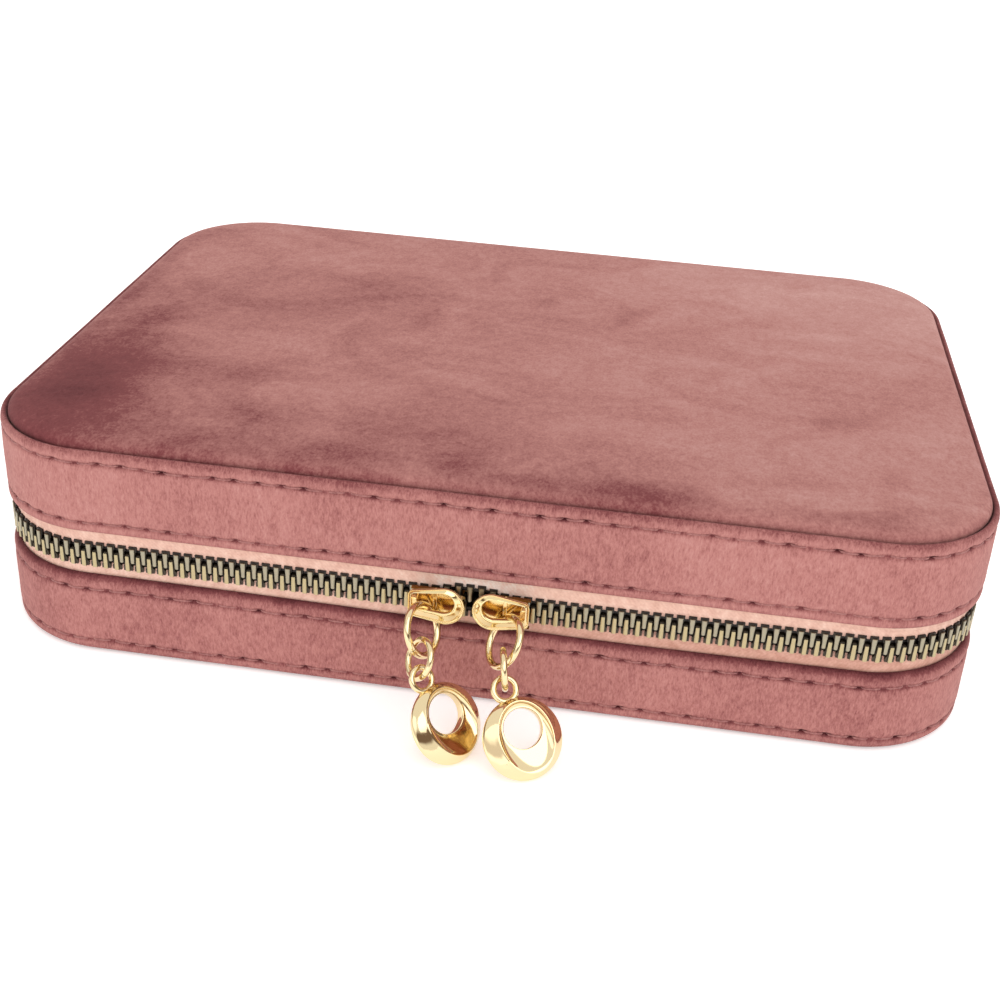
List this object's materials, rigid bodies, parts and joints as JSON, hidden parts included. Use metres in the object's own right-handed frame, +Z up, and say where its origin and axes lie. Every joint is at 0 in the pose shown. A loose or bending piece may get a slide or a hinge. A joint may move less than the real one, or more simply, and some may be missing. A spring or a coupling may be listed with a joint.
{
  "type": "jewelry box",
  "caption": "Zip-round velvet jewelry box with a padded lid on a fabric hinge, ring rolls and dividers in the base, a lid mirror, and sliders with ring-and-disc pulls.",
  "frame": {"origin": "middle of the case's underside, on the table", "axes": "+X along the length, +Y from the front with the sliders to the hinge spine, +Z up"},
  "size_m": [0.17, 0.1443, 0.0412],
  "materials": {
    "velvet": "dusty rose short-pile velvet",
    "suede_lining": "pale rose suede lining",
    "grey_board": "grey board",
    "foam": "upholstery foam",
    "zipper_tape": "woven peach tape",
    "antique_brass": "antique brass teeth",
    "gold": "polished gold plating",
    "mirror_glass": "silvered glass"
  },
  "bodies": {
    "base": {"bottom_cover": "velvet", "base_side_band": "velvet", "base_floor_board": "grey_board", "base_wall_frame": "grey_board", "base_floor_lining": "suede_lining", "base_inner_lining": "suede_lining", "hinge_spine": "velvet", "lower_front_tape": "zipper_tape", "lower_left_tape": "zipper_tape", "lower_right_tape": "zipper_tape", "lower_zipper_teeth": "antique_brass", "lower_left_stop": "antique_brass", "lower_right_stop": "antique_brass", "ring_roll_1": "suede_lining", "ring_roll_2": "suede_lining", "ring_roll_3": "suede_lining", "ring_roll_4": "suede_lining", "ring_roll_5": "suede_lining", "ring_roll_6": "suede_lining", "long_divider": "suede_lining", "cross_divider": "suede_lining", "short_divider": "suede_lining"},
    "lid": {"lid_top_cover": "velvet", "lid_side_band": "velvet", "lid_foam_pad": "foam", "lid_top_board": "grey_board", "lid_wall_frame": "grey_board", "lid_lining_panel": "suede_lining", "lid_inner_lining": "suede_lining", "upper_front_tape": "zipper_tape", "upper_left_tape": "zipper_tape", "upper_right_tape": "zipper_tape", "upper_zipper_teeth": "antique_brass", "upper_left_stop": "antique_brass", "upper_right_stop": "antique_brass", "mirror_frame": "velvet", "mirror": "mirror_glass"},
    "left_slider": {"slider_left": "gold"},
    "left_large_ring": {"large_ring_left": "gold"},
    "left_small_ring": {"small_ring_left": "gold"},
    "left_charm": {"charm_left": "gold"},
    "right_slider": {"slider_right": "gold"},
    "right_large_ring": {"large_ring_right": "gold"},
    "right_small_ring": {"small_ring_right": "gold"},
    "right_charm": {"charm_right": "gold"}
  },
  "joints": [
    {"name": "lid_hinge", "type": "hinge", "parent": "base", "child": "lid", "pos_m": [0, 0.062, 0.0199], "axis": [-1, 0, 0], "range_deg": [0, 176], "deforming": ["hinge_spine", "lower_zipper_teeth", "upper_zipper_teeth"]},
    {"name": "left_slider_slide", "type": "slide", "parent": "base", "child": "left_slider", "axis": [-1, 0, 0], "range_m": [0, 0.054]},
    {"name": "right_slider_slide", "type": "slide", "parent": "base", "child": "right_slider", "axis": [1, 0, 0], "range_m": [0, 0.051]},
    {"name": "left_large_ring_swing", "type": "hinge", "parent": "left_slider", "child": "left_large_ring", "pos_m": [-0.00487, -0.06505, 0.01725], "axis": [-0.875, 0.306, -0.375], "range_deg": [0, 15]},
    {"name": "left_small_ring_swing", "type": "hinge", "parent": "left_large_ring", "child": "left_small_ring", "pos_m": [-0.0054, -0.07069, 0.01524], "axis": [-1, 0, 0], "range_deg": [0, 45]},
    {"name": "left_charm_swing", "type": "hinge", "parent": "left_small_ring", "child": "left_charm", "pos_m": [-0.00429, -0.07442, 0.01225], "axis": [-1, 0, 0], "range_deg": [0, 50]},
    {"name": "right_large_ring_swing", "type": "hinge", "parent": "right_slider", "child": "right_large_ring", "pos_m": [0.00696, -0.06505, 0.01725], "axis": [-0.7661, -0.4181, 0.4881], "range_deg": [0, 15]},
    {"name": "right_small_ring_swing", "type": "hinge", "parent": "right_large_ring", "child": "right_small_ring", "pos_m": [0.00852, -0.07106, 0.01391], "axis": [-1, 0, 0], "range_deg": [0, 45]},
    {"name": "right_charm_swing", "type": "hinge", "parent": "right_small_ring", "child": "right_charm", "pos_m": [0.00852, -0.07294, 0.01212], "axis": [-1, 0, 0], "range_deg": [0, 50]}
  ]
}
